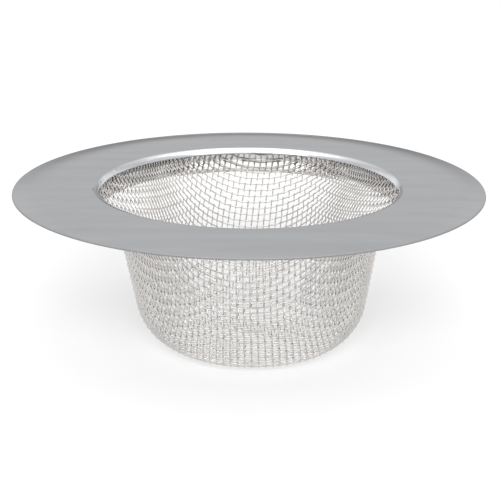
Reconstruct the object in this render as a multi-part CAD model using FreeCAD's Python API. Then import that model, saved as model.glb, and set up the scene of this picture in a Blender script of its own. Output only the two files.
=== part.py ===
import FreeCAD, Part
import math
import os

# Kitchen sink strainer: a pressed steel rim, a deep-drawn basket of wire cloth hung from it,
# and the clamp ring that grips the basket's hem against the underside of the rim.
# Millimetres, +Z up. The origin is the centre of the basket's flat underside, where it stands.

# Driving dimensions of the whole strainer
overall_height = 41.0
clamp_clearance = 0.05

# Rim: a flat land with a turned-down brim outside and a rolled lip that slopes into the hole, in degrees
rim_diameter = 114.3
rim_sheet = 0.5
brim_width = 6.0
brim_drop = 0.85
brim_bend = 35.0
rim_width = 21.1625
lip_length = 1.4
lip_slope = 57.0
lip_bend = 1.5

# Basket: wire cloth two wires thick, taken here as a skin with a plain grid of openings
cloth_thickness = 0.64
hem_width = 4.0
shoulder_lead = 1.326
shoulder_bend = 3.0
shoulder_drop = 9.0
shoulder_inset = 5.93
wall_bend = 20.0
wall_taper = 5.5
foot_bend = 13.3

# Grid of openings, in rows from the middle of the basket's floor up to its shoulder
opening_columns = 24
opening_rows = 8
bar_width = 1.3
floor_hub_diameter = 6.8
cut_overrun = 1.0

# A row has half the columns where they would be narrower than this share of its height
narrowest_column_share = 0.45

# Clamp ring: a flat flange under the hem, and a collar that draws in along the shoulder of the basket
ring_sheet = 0.5
ring_flange_overlap = 0.5
ring_bend = 0.45
collar_depth = 6.45
collar_land = 1.5
collar_inset = 1.39
collar_edge = 0.65
collar_bend = 1.0

# A bend takes at most this share of each straight run beside it, and twice that of an end run
bend_room_share = 0.49


def point(radius, height):
    """A point of a profile, in the half plane that is turned about the axis."""
    return FreeCAD.Vector(radius, 0, height)


def half_turn_at(before, corner, after):
    """Half the angle by which a line turns at a corner."""
    return (math.pi - (before - corner).getAngle(after - corner)) / 2


def fitted_bends(corners, bends):
    """Bend radii, made smaller where the straight runs beside a bend are too short for it."""
    rooms = [bend_room_share * (there - here).Length for here, there in zip(corners, corners[1:])]
    rooms[0] *= 2
    rooms[-1] *= 2
    fitted = []
    for before, corner, after, bend, *room in zip(corners, corners[1:], corners[2:], bends, rooms, rooms[1:]):
        tangent = math.tan(half_turn_at(before, corner, after))
        fitted.append(min(bend, min(room) / tangent))
    return fitted


def beside(corners, distance):
    """The corners of a line that runs beside another, on its left for a positive distance."""
    normals = []
    for here, there in zip(corners, corners[1:]):
        run = (there - here).normalize()
        normals.append(FreeCAD.Vector(-run.z, 0, run.x))
    shifted = [corners[0] + normals[0] * distance]
    for corner, first, second in zip(corners[1:], normals, normals[1:]):
        shifted.append(corner + (first + second) * (distance / (1 + first.dot(second))))
    shifted.append(corners[-1] + normals[-1] * distance)
    return shifted


def bends_beside(corners, bends, distance):
    """Bend radii on a line beside another: smaller on the inside of each bend."""
    radii = []
    for before, corner, after, bend in zip(corners, corners[1:], corners[2:], bends):
        turn = (corner - before).cross(after - corner).y
        radii.append(bend + distance * math.copysign(1, turn))
    return radii


def bent_edges(corners, radii):
    """Straight runs joined by tangent arcs, as edges from the first corner to the last."""
    edges = []
    start = corners[0]
    for before, corner, after, radius in zip(corners, corners[1:], corners[2:], radii):
        back = (before - corner).normalize()
        onward = (after - corner).normalize()
        half_turn = half_turn_at(before, corner, after)
        reach = radius * math.tan(half_turn)
        arc_start = corner + back * reach
        arc_end = corner + onward * reach
        to_centre = (back + onward).normalize()
        arc_middle = corner + to_centre * (radius / math.cos(half_turn) - radius)
        edges.append(Part.LineSegment(start, arc_start).toShape())
        edges.append(Part.Arc(arc_start, arc_middle, arc_end).toShape())
        start = arc_end
    edges.append(Part.LineSegment(start, corners[-1]).toShape())
    return edges


def end_cap(left, right, outward, rounded):
    """The edge that closes a sheet's profile between its two faces."""
    if rounded:
        tip = (left + right) * 0.5 + outward.normalize() * ((left - right).Length / 2)
        return Part.Arc(left, tip, right).toShape()
    return Part.LineSegment(left, right).toShape()


def turned_sheet(midline, bends, sheet, rounded_ends):
    """A bent sheet, given by the line through the middle of its thickness, turned about the Z axis."""
    fitted = fitted_bends(midline, bends)
    left = beside(midline, sheet / 2)
    right = beside(midline, -sheet / 2)
    edges = bent_edges(left, bends_beside(midline, fitted, sheet / 2))
    edges += bent_edges(right, bends_beside(midline, fitted, -sheet / 2))
    edges.append(end_cap(left[0], right[0], midline[0] - midline[1], rounded_ends))
    edges.append(end_cap(left[-1], right[-1], midline[-1] - midline[-2], rounded_ends))
    profile = Part.Face(Part.Wire(Part.sortEdges(edges)[0]))
    return profile.revolve(FreeCAD.Vector(0, 0, 0), FreeCAD.Vector(0, 0, 1), 360)


# Levels and radii that the three pieces share, worked out from the outside in
rim_middle = overall_height - rim_sheet / 2
hem_middle = overall_height - rim_sheet - cloth_thickness / 2
flange_middle = overall_height - rim_sheet - cloth_thickness - ring_sheet / 2
hole_radius = rim_diameter / 2 - rim_width
lip_end_radius = hole_radius + rim_sheet / 2
lip_top_radius = lip_end_radius + lip_length * math.cos(math.radians(lip_slope))
lip_end_middle = rim_middle - lip_length * math.sin(math.radians(lip_slope))
neck_radius = lip_top_radius + clamp_clearance + cloth_thickness / 2
collar_radius = neck_radius + cloth_thickness / 2 + clamp_clearance + ring_sheet / 2
hem_radius = neck_radius + hem_width
wall_top_radius = neck_radius - shoulder_inset
foot_radius = wall_top_radius - wall_taper


def make_rim():
    edge_radius = rim_diameter / 2 - rim_sheet / 2
    midline = [
        point(lip_end_radius, lip_end_middle),
        point(lip_top_radius, rim_middle),
        point(edge_radius - brim_width, rim_middle),
        point(edge_radius, rim_middle - brim_drop),
    ]
    return turned_sheet(midline, [lip_bend + rim_sheet / 2, brim_bend], rim_sheet, True)


def at_length(edges, length):
    """The point and the direction on a line of edges, at a length from its start."""
    for edge in edges:
        if length <= edge.Length:
            place = edge.getParameterByLength(length)
            return edge.valueAt(place), edge.tangentAt(place)
        length -= edge.Length
    raise ValueError("the line is shorter than that")


def columns_at(radius, row_pitch):
    """How many openings go round a row: fewer where the basket is narrow."""
    columns = opening_columns
    while 2 * math.pi * radius / columns < narrowest_column_share * row_pitch:
        columns //= 2
    return columns


def opening_cutters(middle, along, height, columns):
    """Solids that cut one row of openings: a block square to the cloth, turned part of the way round."""
    up = along * (height / 2)
    out = FreeCAD.Vector(-along.z, 0, along.x) * (cloth_thickness / 2 + cut_overrun)
    corners = [middle + up + out, middle + up - out, middle - up - out, middle - up + out]
    section = Part.Face(Part.makePolygon(corners + corners[:1]))
    centre = FreeCAD.Vector(0, 0, 0)
    axis = FreeCAD.Vector(0, 0, 1)
    step = 360 / columns
    sweep = step - math.degrees(bar_width / middle.x)
    block = section.revolve(centre, axis, sweep)
    return [block.rotated(centre, axis, column * step - sweep / 2) for column in range(columns)]


def basket_cutters(midline, bends):
    """Solids that cut all the openings, row by row from the shoulder down to the hub of the floor."""
    edges = bent_edges(midline, fitted_bends(midline, bends))
    hem, hem_arc, neck, shoulder_arc, *open_edges = edges
    open_length = sum(edge.Length for edge in open_edges) - floor_hub_diameter / 2
    row_pitch = open_length / opening_rows
    cutters = []
    for row in range(opening_rows):
        middle, along = at_length(open_edges, (row + 0.5) * row_pitch)
        cutters += opening_cutters(middle, along, row_pitch - bar_width, columns_at(middle.x, row_pitch))
    return cutters


def make_mesh_basket():
    shoulder_level = lip_end_middle - rim_sheet / 2 - shoulder_lead
    hem_bend = ring_bend + ring_sheet + clamp_clearance + cloth_thickness / 2
    midline = [
        point(hem_radius, hem_middle),
        point(neck_radius, hem_middle),
        point(neck_radius, shoulder_level),
        point(wall_top_radius, shoulder_level - shoulder_drop),
        point(foot_radius, cloth_thickness / 2),
        point(0, cloth_thickness / 2),
    ]
    bends = [hem_bend, shoulder_bend, wall_bend, foot_bend]
    skin = turned_sheet(midline, bends, cloth_thickness, False)
    return skin.cut(basket_cutters(midline, bends)).Solids[0]


def make_clamp_ring():
    land_top = flange_middle - ring_sheet / 2 - ring_bend
    throat_radius = collar_radius - collar_inset
    collar_foot = overall_height - collar_depth
    midline = [
        point(hem_radius + ring_flange_overlap, flange_middle),
        point(collar_radius, flange_middle),
        point(collar_radius, land_top - collar_land),
        point(throat_radius, collar_foot + collar_edge),
        point(throat_radius, collar_foot),
    ]
    return turned_sheet(midline, [ring_bend + ring_sheet / 2, collar_bend, collar_bend], ring_sheet, False)


pieces = {
    "rim": make_rim(),
    "mesh_basket": make_mesh_basket(),
    "clamp_ring": make_clamp_ring(),
}

os.makedirs("parts", exist_ok=True)
for node, shape in pieces.items():
    shape.exportStep("parts/" + node + ".step")
    print(node, "valid", shape.isValid(), "solids", len(shape.Solids), "volume", round(shape.Volume, 2))
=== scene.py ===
import math

import bpy
import numpy as np
from mathutils import Matrix, Vector, noise


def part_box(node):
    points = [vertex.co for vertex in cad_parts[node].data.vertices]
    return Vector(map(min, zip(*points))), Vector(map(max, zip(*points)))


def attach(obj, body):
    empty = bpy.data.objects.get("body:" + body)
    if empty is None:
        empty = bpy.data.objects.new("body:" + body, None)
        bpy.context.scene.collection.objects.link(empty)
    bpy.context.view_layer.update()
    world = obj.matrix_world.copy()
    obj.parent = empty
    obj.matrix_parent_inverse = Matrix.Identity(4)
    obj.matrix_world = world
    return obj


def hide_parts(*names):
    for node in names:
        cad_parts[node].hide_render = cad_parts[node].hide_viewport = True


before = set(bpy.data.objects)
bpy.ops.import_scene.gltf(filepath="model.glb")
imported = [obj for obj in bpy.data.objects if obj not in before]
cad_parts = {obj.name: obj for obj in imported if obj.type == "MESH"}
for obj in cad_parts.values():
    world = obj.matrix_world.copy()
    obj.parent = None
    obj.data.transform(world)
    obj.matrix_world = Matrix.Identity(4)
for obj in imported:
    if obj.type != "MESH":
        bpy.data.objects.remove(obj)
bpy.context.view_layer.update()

# Kitchen sink strainer in steel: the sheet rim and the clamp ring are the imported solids,
# and the basket is woven here wire by wire. Metres, +Z up, the origin under the basket.

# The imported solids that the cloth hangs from
rim_low, rim_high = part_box("rim")
basket_low, basket_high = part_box("mesh_basket")

# Wire cloth
WIRE_DIAMETER = 0.32e-3
WIRE_PITCH = 1.61e-3
WIRE_SIDES = 8
RINGS_PER_PITCH = 4

# Share of the crimp that the lengthwise wires take; the crosswise wires run nearly straight.
# Where the cloth is clamped under the rim both take the same.
WARP_CRIMP = 0.8
CLAMPED_CRIMP = 0.5

# Line of the cloth from the middle of the floor to the hem under the rim
HEM_WIDTH = 4.0e-3
HEM_BEND = 1.0e-3
SHOULDER_LEAD = 1.326e-3
SHOULDER_BEND = 3.0e-3
SHOULDER_DROP = 9.0e-3
SHOULDER_INSET = 5.93e-3
WALL_BEND = 20.0e-3
WALL_TAPER = 5.5e-3
FOOT_BEND = 13.3e-3
PROFILE_STEP = 0.05e-3

# The cloth was drawn over a rounder punch before it settled, and its far side turned a little in the draw
PUNCH_BEND = 27.0e-3
PUNCH_SPARE = 8.0e-3
CLOTH_TURN = math.radians(6.5)
TWIST_PER_METRE = 4.2
TWIST_START = 15.0e-3

# Unevenness of the weave: how far knots wander, over what distance, and its seed, the same in each run
WANDER = 0.09e-3
WANDER_SCALE = 4.5e-3
WANDER_SEED = 1

# The basket hangs a little out of true: its floor lies this far towards +X
BASKET_LEAN = 0.9e-3

# Search for a knot's place on the punch, as a length along it and a turn about the axis in radians:
# the small steps that give the slopes, the most that one step moves the place, and when it is near enough
SEARCH_STEPS = 40
SEARCH_RADIUS = 30.0e-3
SLOPE_LENGTH = 1e-6
SLOPE_TURN = SLOPE_LENGTH / SEARCH_RADIUS
STEP_LENGTH = 1e-3
STEP_TURN = 0.05
NEAR_LENGTH = 1e-10
NEAR_TURN = 1e-8
LEAST_SLOPE = 1e-15

# Two knots this many pitches apart leave no room for a third, one pitch from both
WIDEST_SHEAR = 1.999

# Tones of the steel: scale and detail of a noise, and the colours that it goes between, as (noise, colour)
RIM_NOISE = (190.0, 4.0)
RIM_TONES = [(0.3, (0.505, 0.512, 0.53, 1)), (0.7, (0.565, 0.572, 0.59, 1))]
RING_NOISE = (120.0, 4.0)
RING_TONES = [(0.3, (0.67, 0.655, 0.64, 1)), (0.7, (0.73, 0.715, 0.70, 1))]
WIRE_NOISE = (260.0, 3.0)
WIRE_TONES = [(0.3, (0.575, 0.562, 0.548, 1)), (0.7, (0.635, 0.62, 0.604, 1))]

# Roughness of the steel: the rim's goes up and down with its streaks
RIM_SMOOTHEST = 0.12
RIM_ROUGHEST = 0.18
RING_ROUGHNESS = 0.16
WIRE_ROUGHNESS = 0.14

# The rim's sheet was rolled along X, so its streaks are drawn out that way
ROLLED_SCALE = (0.15, 1.0, 1.0)

# The sheared edge of that sheet is dull from this far inside its outline on, fully at a share of the depth
CUT_EDGE_DEPTH = 0.26e-3
CUT_EDGE_FULL = 0.8
CUT_EDGE_COLOUR = (0.30, 0.30, 0.305, 1)
CUT_EDGE_ROUGHNESS = 0.6

# Camera, fitted to the outline of the rim and the basket in the photograph
CAMERA_TARGET = Vector((0.312e-3, 0.0, 24.223e-3))
CAMERA_DISTANCE = 0.430
CAMERA_ELEVATION = math.radians(17.353)
CAMERA_ROLL = math.radians(0.276)
CAMERA_LENS = 126.10
CAMERA_SENSOR = 36.0
CAMERA_CLIP_START = 0.01

# Studio floor
FLOOR_HALF_WIDTH = 4.0
FLOOR_FRONT = -4.0
FLOOR_BACK = 0.75
FLOOR_GAP = 0.02e-3

# Grey of the floor as it lights other things, and its grey and glow to the eye and in metal
FLOOR_BOUNCE = 0.8
FLOOR_GREY = 0.25
FLOOR_GLOW = 0.485

# Lamp that lights the floor from the front, so the shadow falls behind the strainer. Metal doesn't mirror it.
FLOOR_LAMP_ELEVATION = math.radians(27.0)
FLOOR_LAMP_DISTANCE = 3.0
FLOOR_LAMP_SIZE = 1.5
FLOOR_LAMP_RADIANCE = 28.0

# Softbox overhead
SOFTBOX_ELEVATION = math.radians(82.0)
SOFTBOX_DISTANCE = 1.0
SOFTBOX_WIDTH = 1.4
SOFTBOX_DEPTH = 1.0
SOFTBOX_RADIANCE = 1.5

# Tones of the surround, as (height of the direction, grey), and where the front takes over from the back:
# along Y, and sooner to the sides
WALL_BEHIND = [(0.0, 0.24), (0.1, 0.42), (0.24, 0.68), (0.6, 0.74)]
WALL_FRONT = [(0.3, 1.25), (0.5, 0.85), (0.7, 1.15), (0.82, 1.5)]
FRONT_STARTS = 0.62
FRONT_FULL = 0.1
SIDE_SHARE = 1.8

# Level at which the cloth leaves the clamp and turns inwards
shoulder_level = rim_low[2] - SHOULDER_LEAD


def profile_corners():
    """Corners of the cloth's middle line, as (radius, level), from the axis to the hem."""
    hem_radius = basket_high[0]
    hem_level = basket_high[2] - WIRE_DIAMETER * (0.5 + CLAMPED_CRIMP)
    neck = hem_radius - HEM_WIDTH
    wall_top = neck - SHOULDER_INSET
    floor_level = basket_low[2] + WIRE_DIAMETER * (0.5 + WARP_CRIMP)
    return [
        (0.0, floor_level),
        (wall_top - WALL_TAPER, floor_level),
        (wall_top, shoulder_level - SHOULDER_DROP),
        (neck, shoulder_level),
        (neck, hem_level),
        (hem_radius, hem_level),
    ]


def run_points(start, end):
    """Points along a straight run, without its end."""
    count = max(2, int(np.linalg.norm(end - start) / PROFILE_STEP))
    return [start + (end - start) * step / count for step in range(count)]


def arc_points(before, corner, after, bend):
    """Points along the arc that rounds a corner, from tangent to tangent."""
    back = (before - corner) / np.linalg.norm(before - corner)
    onward = (after - corner) / np.linalg.norm(after - corner)
    half_turn = (math.pi - math.acos(back @ onward)) / 2
    reach = bend * math.tan(half_turn)
    centre = corner + (back + onward) / np.linalg.norm(back + onward) * (bend / math.cos(half_turn))
    first = corner + back * reach - centre
    last = corner + onward * reach - centre
    angle = math.atan2(first[1], first[0])
    sweep = math.remainder(math.atan2(last[1], last[0]) - angle, 2 * math.pi)
    count = max(3, int(abs(sweep) * bend / PROFILE_STEP))
    turns = [angle + sweep * step / count for step in range(count + 1)]
    return [centre + bend * np.array((math.cos(turn), math.sin(turn))) for turn in turns]


def cloth_line(foot_bend, spare):
    """The cloth's middle line, with spare cloth past the hem: length along, radius and level."""
    corners = [np.array(corner) for corner in profile_corners()]
    corners[-1] = corners[-1] + np.array((spare, 0.0))
    bends = [foot_bend, WALL_BEND, SHOULDER_BEND, HEM_BEND]
    points = [corners[0]]
    for before, corner, after, bend in zip(corners, corners[1:], corners[2:], bends):
        arc = arc_points(before, corner, after, bend)
        points += run_points(points[-1], arc[0])[1:] + arc
    points += run_points(points[-1], corners[-1])[1:] + [corners[-1]]
    line = np.array(points)
    steps = np.linalg.norm(np.diff(line, axis=0), axis=1)
    return np.concatenate([[0.0], np.cumsum(steps)]), line[:, 0], line[:, 1]


CLOTH = cloth_line(FOOT_BEND, 0.0)
PUNCH = cloth_line(PUNCH_BEND, PUNCH_SPARE)


def on_line(line, along, turn):
    """The point at a length along a line and a turn about the axis."""
    lengths, radii, levels = line
    radius = np.interp(along, lengths, radii)
    return np.array((radius * math.cos(turn), radius * math.sin(turn), np.interp(along, lengths, levels)))


def inward_normal(along, turn):
    """The direction square to the cloth, towards the inside of the basket."""
    lengths, radii, levels = CLOTH
    reach = PROFILE_STEP
    rise = np.interp(along + reach, lengths, levels) - np.interp(along - reach, lengths, levels)
    run = np.interp(along + reach, lengths, radii) - np.interp(along - reach, lengths, radii)
    if along < reach:
        rise, run = 0.0, 1.0
    size = math.hypot(rise, run)
    rise, run = rise / size, run / size
    return np.array((-rise * math.cos(turn), -rise * math.sin(turn), run))


def next_knot(first, second, guess):
    """The knot one pitch from two others, found on the punch step by step from a guess."""
    along, turn = guess
    for _ in range(SEARCH_STEPS):
        here = on_line(PUNCH, along, turn)
        misses = np.array([(here - other) @ (here - other) - WIRE_PITCH ** 2 for other in (first, second)])
        by_along = (on_line(PUNCH, along + SLOPE_LENGTH, turn) - here) / SLOPE_LENGTH
        by_turn = (on_line(PUNCH, along, turn + SLOPE_TURN) - here) / SLOPE_TURN
        slopes = np.array([
            [2 * (here - other) @ by_along, 2 * (here - other) @ by_turn] for other in (first, second)
        ])
        if abs(np.linalg.det(slopes)) < LEAST_SLOPE:
            return None
        step = np.linalg.solve(slopes, -misses)
        along += float(np.clip(step[0], -STEP_LENGTH, STEP_LENGTH))
        turn += float(np.clip(step[1], -STEP_TURN, STEP_TURN))
        if abs(step[0]) < NEAR_LENGTH and abs(step[1]) < NEAR_TURN:
            return along, turn
    return None


def draped_quadrant():
    """Knots of square cloth drawn over the punch, one quadrant, as (length along, turn).

    Each is kept under the numbers of its lengthwise and its crosswise wire. The two wires through the
    middle of the floor run straight up the walls. Every other knot lies one pitch from its two
    neighbours, so the squares shear into diamonds between those wires.
    """
    reach = PUNCH[0][-1]
    count = int(reach / WIRE_PITCH)
    knots = {(0, 0): (0.0, 0.0)}
    for number in range(1, count + 1):
        knots[number, 0] = (number * WIRE_PITCH, 0.0)
        knots[0, number] = (number * WIRE_PITCH, math.pi / 2)
    for total in range(2, 2 * count):
        for i in range(max(1, total - count), min(total, count + 1)):
            j = total - i
            neighbours = [knots.get(key) for key in ((i - 1, j), (i, j - 1), (i - 1, j - 1))]
            if None in neighbours:
                continue
            (along_a, turn_a), (along_b, turn_b), (along_c, turn_c) = neighbours
            first, second = on_line(PUNCH, along_a, turn_a), on_line(PUNCH, along_b, turn_b)
            if np.linalg.norm(first - second) > WIDEST_SHEAR * WIRE_PITCH:
                continue
            turn = (turn_a + turn_b) / 2 if along_c < WIRE_PITCH else turn_a + turn_b - turn_c
            found = next_knot(first, second, (max(along_a, along_b, along_a + along_b - along_c), turn))
            if found and along_c < found[0] <= reach:
                knots[i, j] = found
    return knots


def settled(along, turn):
    """A knot's place after the draw, as (position, inward normal): twisted on the far side, uneven."""
    far_share = (1 + math.sin(turn)) / 2
    turn += far_share * (CLOTH_TURN - TWIST_PER_METRE * max(0.0, along - TWIST_START))
    radius = max(np.interp(along, CLOTH[0], CLOTH[1]), WIRE_PITCH)
    drift = noise.noise_vector(Vector(on_line(CLOTH, along, turn)) / WANDER_SCALE) * WANDER
    along, turn = abs(along + drift.x), turn + drift.y / radius
    return on_line(CLOTH, along, turn), inward_normal(along, turn)


def all_knots():
    """Every knot of the cloth, as (position, inward normal), from one quadrant and its mirror images."""
    noise.seed_set(WANDER_SEED)
    knots = {}
    for (i, j), (along, turn) in draped_quadrant().items():
        if along > CLOTH[0][-1] - WANDER:
            continue
        for side in (1, -1):
            for end in (1, -1):
                mirrored = math.atan2(end * math.sin(turn), side * math.cos(turn))
                knots[side * i, end * j] = settled(along, mirrored)
    return knots


def wire_runs(knots, lengthwise):
    """Knots in order along each wire: one list per unbroken run, with the wire's number."""
    lines = {}
    for i, j in knots:
        lines.setdefault(i if lengthwise else j, []).append(j if lengthwise else i)
    runs = []
    for number, places in sorted(lines.items()):
        run = []
        for place in sorted(places):
            if run and place != run[-1] + 1:
                runs.append((number, run))
                run = []
            run.append(place)
        runs.append((number, run))
    return [(number, run) for number, run in runs if len(run) > 1]


def smooth_line(points, normals, offsets):
    """A wire's middle line through its knots, waving over and under from one knot to the next."""
    padded = np.vstack([2 * points[0] - points[1], points, 2 * points[-1] - points[-2]])
    line, directions = [], []
    for index in range(len(points) - 1):
        before, here, there, after = padded[index:index + 4]
        for ring in range(RINGS_PER_PITCH):
            t = ring / RINGS_PER_PITCH
            spot = 0.5 * (2 * here + (there - before) * t
                          + (2 * before - 5 * here + 4 * there - after) * t ** 2
                          + (3 * here - before - 3 * there + after) * t ** 3)
            normal = normals[index] * (1 - t) + normals[index + 1] * t
            normal /= np.linalg.norm(normal)
            wave = offsets[index] * (1 - t) - offsets[index + 1] * t
            line.append(spot + normal * wave * math.cos(math.pi * t))
            directions.append(normal)
    line.append(points[-1] + normals[-1] * offsets[-1])
    directions.append(normals[-1])
    return np.array(line), np.array(directions)


def lean(points):
    """Shift points of the basket towards +X, the more the lower they lie."""
    shift = BASKET_LEAN * np.clip(1 - points[:, 2] / shoulder_level, 0.0, 1.0)
    return points + np.stack([shift, np.zeros_like(shift), np.zeros_like(shift)], axis=1)


def tube_rings(line, normals):
    """Rings of vertices round a line, one per point."""
    along = np.gradient(line, axis=0)
    along /= np.linalg.norm(along, axis=1)[:, None]
    across = np.cross(along, normals)
    across /= np.linalg.norm(across, axis=1)[:, None]
    upright = np.cross(across, along)
    turns = 2 * math.pi * np.arange(WIRE_SIDES) / WIRE_SIDES
    inward = np.cos(turns)[None, :, None] * upright[:, None, :]
    sideways = np.sin(turns)[None, :, None] * across[:, None, :]
    return line[:, None, :] + WIRE_DIAMETER / 2 * (inward + sideways)


def tube_faces(first, rings):
    """Quads of one tube and its two end caps, from its first vertex on."""
    faces = []
    for ring in range(rings - 1):
        low = first + ring * WIRE_SIDES
        for side in range(WIRE_SIDES):
            onward = (side + 1) % WIRE_SIDES
            faces.append((low + side, low + WIRE_SIDES + side, low + WIRE_SIDES + onward, low + onward))
    faces.append(tuple(first + side for side in range(WIRE_SIDES)))
    top = first + (rings - 1) * WIRE_SIDES
    faces.append(tuple(top + side for side in reversed(range(WIRE_SIDES))))
    return faces


def wire_piece(name, lines, material):
    """One mesh of many wires, given as (line, normals) pairs."""
    vertices, faces = [], []
    for line, normals in lines:
        rings = tube_rings(line, normals)
        faces += tube_faces(sum(len(part) for part in vertices), len(rings))
        vertices.append(rings.reshape(-1, 3))
    mesh = bpy.data.meshes.new(name)
    mesh.from_pydata(np.concatenate(vertices).tolist(), [], faces)
    mesh.polygons.foreach_set("use_smooth", [True] * len(mesh.polygons))
    mesh.materials.append(material)
    mesh.validate()
    piece = bpy.data.objects.new(name, mesh)
    bpy.context.scene.collection.objects.link(piece)
    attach(piece, "root")
    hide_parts("mesh_basket")


def crimp_offset(key, level, lengthwise):
    """How far a wire's middle line lies from the cloth's middle at a knot: in turns inside and outside it."""
    share = CLAMPED_CRIMP if level > shoulder_level else WARP_CRIMP
    side = (-1) ** (key[0] + key[1])
    return side * WIRE_DIAMETER * (share if lengthwise else share - 1)


def woven_lines(knots, lengthwise):
    """The middle line of every wire of one direction, with the wire's number."""
    woven = []
    for number, places in wire_runs(knots, lengthwise):
        keys = [(number, place) if lengthwise else (place, number) for place in places]
        points = np.array([knots[key][0] for key in keys])
        normals = np.array([knots[key][1] for key in keys])
        offsets = [crimp_offset(key, knots[key][0][2], lengthwise) for key in keys]
        line, directions = smooth_line(points, normals, offsets)
        woven.append((number, lean(line), directions))
    return woven


def weave_basket(material):
    knots = all_knots()
    warp = woven_lines(knots, True)
    weft = woven_lines(knots, False)
    wire_piece("warp_wires_left", [wire[1:] for wire in warp if wire[0] < 0], material)
    wire_piece("warp_wires_right", [wire[1:] for wire in warp if wire[0] >= 0], material)
    wire_piece("weft_wires_front", [wire[1:] for wire in weft if wire[0] < 0], material)
    wire_piece("weft_wires_back", [wire[1:] for wire in weft if wire[0] >= 0], material)


def new_material(name):
    material = bpy.data.materials.new(name)
    material.use_nodes = True
    nodes = material.node_tree.nodes
    return material, nodes, material.node_tree.links, nodes["Principled BSDF"]


def grey(value):
    """A grey as a colour."""
    return (value, value, value, 1)


def noise_over(nodes, links, place, scale, detail):
    """Noise over a surface, worked out from places on it."""
    texture = nodes.new("ShaderNodeTexNoise")
    texture.inputs["Scale"].default_value = scale
    texture.inputs["Detail"].default_value = detail
    links.new(place, texture.inputs["Vector"])
    return texture.outputs["Fac"]


def tone_ramp(nodes, links, value, stops):
    """A colour that changes with a value: stops are (value, colour) pairs."""
    ramp = nodes.new("ShaderNodeValToRGB")
    elements = ramp.color_ramp.elements
    while len(elements) < len(stops):
        elements.new(0.5)
    for element, (position, colour) in zip(elements, stops):
        element.position = position
        element.color = colour
    links.new(value, ramp.inputs["Fac"])
    return ramp.outputs["Color"]


def sheet_material():
    """Satin rolled stainless sheet: faint streaks along the way it was rolled, and a dull sheared edge."""
    material, nodes, links, shader = new_material("satin_sheet_steel")
    shader.inputs["Metallic"].default_value = 1.0
    place = nodes.new("ShaderNodeTexCoord").outputs["Object"]
    rolled = nodes.new("ShaderNodeMapping")
    rolled.inputs["Scale"].default_value = ROLLED_SCALE
    links.new(place, rolled.inputs["Vector"])
    streaks = noise_over(nodes, links, rolled.outputs["Vector"], *RIM_NOISE)
    edge = cut_edge_factor(nodes, links, place)
    colour = nodes.new("ShaderNodeMix")
    colour.data_type = "RGBA"
    colour.inputs["B"].default_value = CUT_EDGE_COLOUR
    links.new(edge, colour.inputs["Factor"])
    links.new(tone_ramp(nodes, links, streaks, RIM_TONES), colour.inputs["A"])
    links.new(colour.outputs["Result"], shader.inputs["Base Color"])
    shine = nodes.new("ShaderNodeMapRange")
    shine.inputs["To Min"].default_value = RIM_SMOOTHEST
    shine.inputs["To Max"].default_value = RIM_ROUGHEST
    links.new(streaks, shine.inputs["Value"])
    dulled = nodes.new("ShaderNodeMix")
    dulled.inputs["B"].default_value = CUT_EDGE_ROUGHNESS
    links.new(edge, dulled.inputs["Factor"])
    links.new(shine.outputs["Result"], dulled.inputs["A"])
    links.new(dulled.outputs["Result"], shader.inputs["Roughness"])
    return material


def cut_edge_factor(nodes, links, place):
    """One on the sheared outer edge of the rim, nothing elsewhere."""
    flat = nodes.new("ShaderNodeVectorMath")
    flat.operation = "MULTIPLY"
    flat.inputs[1].default_value = (1.0, 1.0, 0.0)
    links.new(place, flat.inputs[0])
    radius = nodes.new("ShaderNodeVectorMath")
    radius.operation = "LENGTH"
    links.new(flat.outputs["Vector"], radius.inputs[0])
    edge = nodes.new("ShaderNodeMapRange")
    edge.inputs["From Min"].default_value = rim_high[0] - CUT_EDGE_DEPTH
    edge.inputs["From Max"].default_value = rim_high[0] - CUT_EDGE_DEPTH * CUT_EDGE_FULL
    links.new(radius.outputs["Value"], edge.inputs["Value"])
    return edge.outputs["Result"]


def mottled_steel(name, noise_values, tones, roughness):
    """Bright steel, a little uneven in tone."""
    material, nodes, links, shader = new_material(name)
    shader.inputs["Metallic"].default_value = 1.0
    place = nodes.new("ShaderNodeTexCoord").outputs["Object"]
    patches = noise_over(nodes, links, place, *noise_values)
    links.new(tone_ramp(nodes, links, patches, tones), shader.inputs["Base Color"])
    shader.inputs["Roughness"].default_value = roughness
    return material


def ring_material():
    """Bright annealed stainless sheet, lighter than the rim and without streaks."""
    return mottled_steel("bright_ring_steel", RING_NOISE, RING_TONES, RING_ROUGHNESS)


def wire_material():
    """Bright drawn stainless wire, a little uneven along its length."""
    return mottled_steel("bright_wire_steel", WIRE_NOISE, WIRE_TONES, WIRE_ROUGHNESS)


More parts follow.
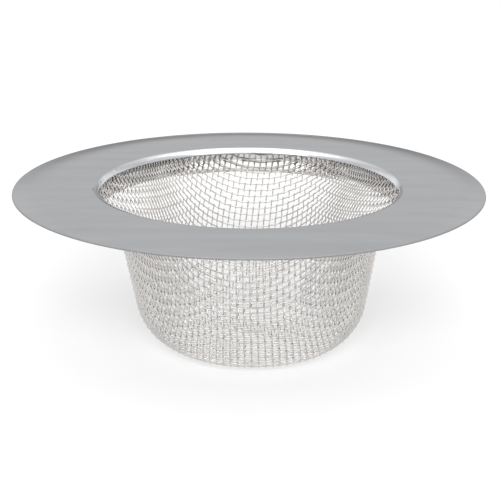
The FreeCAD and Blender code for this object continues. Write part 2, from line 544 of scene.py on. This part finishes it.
def floor_material():
    """White floor. To the eye and in metal it glows a little, so it is white and its shadows stay soft."""
    material, nodes, links, shader = new_material("white_floor")
    shader.inputs["Base Color"].default_value = grey(FLOOR_BOUNCE)
    shader.inputs["Roughness"].default_value = 1.0
    shader.inputs["Specular IOR Level"].default_value = 0.0
    glow = nodes.new("ShaderNodeEmission")
    glow.inputs["Strength"].default_value = FLOOR_GLOW
    plain = nodes.new("ShaderNodeBsdfDiffuse")
    plain.inputs["Color"].default_value = grey(FLOOR_GREY)
    seen = nodes.new("ShaderNodeAddShader")
    links.new(glow.outputs["Emission"], seen.inputs[0])
    links.new(plain.outputs["BSDF"], seen.inputs[1])
    path = nodes.new("ShaderNodeLightPath")
    either = nodes.new("ShaderNodeMath")
    either.operation = "MAXIMUM"
    links.new(path.outputs["Is Camera Ray"], either.inputs[0])
    links.new(path.outputs["Is Glossy Ray"], either.inputs[1])
    any_view = nodes.new("ShaderNodeMath")
    any_view.operation = "MAXIMUM"
    links.new(either.outputs["Value"], any_view.inputs[0])
    links.new(path.outputs["Is Transmission Ray"], any_view.inputs[1])
    choice = nodes.new("ShaderNodeMixShader")
    links.new(any_view.outputs["Value"], choice.inputs["Fac"])
    links.new(shader.outputs["BSDF"], choice.inputs[1])
    links.new(seen.outputs["Shader"], choice.inputs[2])
    links.new(choice.outputs["Shader"], nodes["Material Output"].inputs["Surface"])
    return material


def make_floor():
    left, right = -FLOOR_HALF_WIDTH, FLOOR_HALF_WIDTH
    level = basket_low[2] - FLOOR_GAP
    mesh = bpy.data.meshes.new("floor")
    corners = [(left, FLOOR_FRONT), (right, FLOOR_FRONT), (right, FLOOR_BACK), (left, FLOOR_BACK)]
    mesh.from_pydata([(x, y, level) for x, y in corners], [], [(0, 1, 2, 3)])
    mesh.materials.append(floor_material())
    floor = bpy.data.objects.new("floor", mesh)
    bpy.context.scene.collection.objects.link(floor)


def make_world():
    """Studio surround: a bright front, and behind the strainer a plainer wall that darkens to the horizon."""
    world = bpy.data.worlds.new("studio")
    bpy.context.scene.world = world
    world.use_nodes = True
    nodes, links = world.node_tree.nodes, world.node_tree.links
    place = nodes.new("ShaderNodeTexCoord")
    parts = nodes.new("ShaderNodeSeparateXYZ")
    links.new(place.outputs["Generated"], parts.inputs["Vector"])
    height = parts.outputs["Z"]
    behind = tone_ramp(nodes, links, height, [(level, grey(tone)) for level, tone in WALL_BEHIND])
    front = tone_ramp(nodes, links, height, [(level, grey(tone)) for level, tone in WALL_FRONT])
    sideways = nodes.new("ShaderNodeMath")
    sideways.operation = "ABSOLUTE"
    links.new(parts.outputs["X"], sideways.inputs[0])
    backness = nodes.new("ShaderNodeMath")
    backness.operation = "MULTIPLY_ADD"
    backness.inputs[1].default_value = -SIDE_SHARE
    links.new(sideways.outputs["Value"], backness.inputs[0])
    links.new(parts.outputs["Y"], backness.inputs[2])
    frontness = nodes.new("ShaderNodeMapRange")
    frontness.interpolation_type = "SMOOTHSTEP"
    frontness.inputs["From Min"].default_value = FRONT_STARTS
    frontness.inputs["From Max"].default_value = FRONT_FULL
    links.new(backness.outputs["Value"], frontness.inputs["Value"])
    choice = nodes.new("ShaderNodeMix")
    choice.data_type = "RGBA"
    links.new(frontness.outputs["Result"], choice.inputs["Factor"])
    links.new(behind, choice.inputs["A"])
    links.new(front, choice.inputs["B"])
    links.new(choice.outputs["Result"], nodes["Background"].inputs["Color"])


def make_lamp(name, elevation, distance, width, depth, radiance):
    """A flat lamp in front of the strainer, at a height given as an angle, that faces the origin."""
    light = bpy.data.lights.new(name, "AREA")
    light.shape = "RECTANGLE"
    light.size = width
    light.size_y = depth
    light.energy = radiance * math.pi * width * depth
    lamp = bpy.data.objects.new(name, light)
    towards = Vector((0.0, -math.cos(elevation), math.sin(elevation)))
    lamp.location = towards * distance
    lamp.rotation_euler.x = math.pi / 2 - elevation
    bpy.context.scene.collection.objects.link(lamp)
    return lamp


def make_lamps():
    make_lamp("softbox", SOFTBOX_ELEVATION, SOFTBOX_DISTANCE, SOFTBOX_WIDTH, SOFTBOX_DEPTH, SOFTBOX_RADIANCE)
    floor_lamp = make_lamp("floor_lamp", FLOOR_LAMP_ELEVATION, FLOOR_LAMP_DISTANCE,
                           FLOOR_LAMP_SIZE, FLOOR_LAMP_SIZE, FLOOR_LAMP_RADIANCE)
    floor_lamp.visible_glossy = False
    floor_lamp.visible_camera = False


def make_camera():
    forward = Vector((0.0, math.cos(CAMERA_ELEVATION), -math.sin(CAMERA_ELEVATION)))
    level_right = Vector((1.0, 0.0, 0.0))
    level_up = level_right.cross(forward)
    right = level_right * math.cos(CAMERA_ROLL) + level_up * math.sin(CAMERA_ROLL)
    up = level_up * math.cos(CAMERA_ROLL) - level_right * math.sin(CAMERA_ROLL)
    eye = CAMERA_TARGET - forward * CAMERA_DISTANCE
    data = bpy.data.cameras.new("camera")
    data.lens = CAMERA_LENS
    data.sensor_width = CAMERA_SENSOR
    data.clip_start = CAMERA_CLIP_START
    camera = bpy.data.objects.new("camera", data)
    turn = Matrix((right, up, -forward)).transposed().to_4x4()
    camera.matrix_world = Matrix.Translation(eye) @ turn
    bpy.context.scene.collection.objects.link(camera)
    bpy.context.scene.camera = camera


def dress_node(node, material):
    """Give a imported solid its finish."""
    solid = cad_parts[node]
    solid.data.materials.clear()
    solid.data.materials.append(material)


dress_node("rim", sheet_material())
dress_node("clamp_ring", ring_material())
weave_basket(wire_material())
make_floor()
make_world()
make_lamps()
make_camera()
bpy.context.scene.view_settings.view_transform = "Standard"
